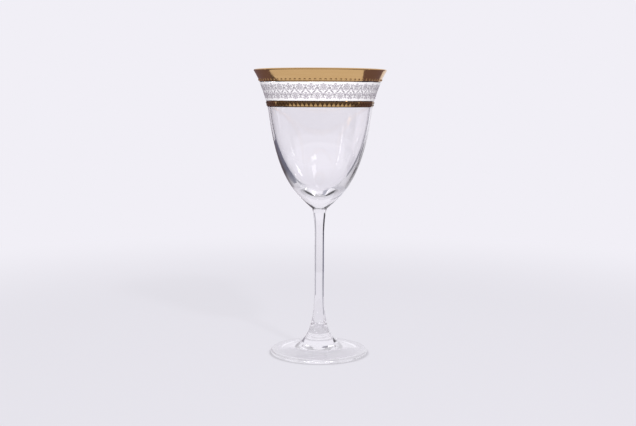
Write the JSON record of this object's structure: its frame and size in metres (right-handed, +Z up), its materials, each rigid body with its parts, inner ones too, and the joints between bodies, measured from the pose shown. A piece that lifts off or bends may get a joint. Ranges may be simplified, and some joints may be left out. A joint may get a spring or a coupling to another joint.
{
  "type": "red wine glass",
  "caption": "Clear stemmed red wine glass with a flared lip, gilded rim and lower band, and an etched floral frieze between them.",
  "frame": {"origin": "centre of the foot's standing ring, on the surface that the glass stands on", "axes": "+Z up along the axis of the glass, from the foot to the lip; X and Y are free round that axis"},
  "size_m": [0.1014, 0.1014, 0.22],
  "materials": {
    "clear_glass": "polished clear soda-lime glass",
    "fired_gold": "burnished fired gold, mirror bright",
    "etched_glass": "matt acid-etched white, with polished flowers and leaves"
  },
  "bodies": {
    "root": {"bowl": "clear_glass", "stem": "clear_glass", "foot": "clear_glass", "rim_gold_band": "fired_gold", "rim_gold_beading": "fired_gold", "floral_frieze": "etched_glass", "lower_gold_band": "fired_gold", "lower_gold_lattice": "fired_gold"}
  },
  "joints": []
}
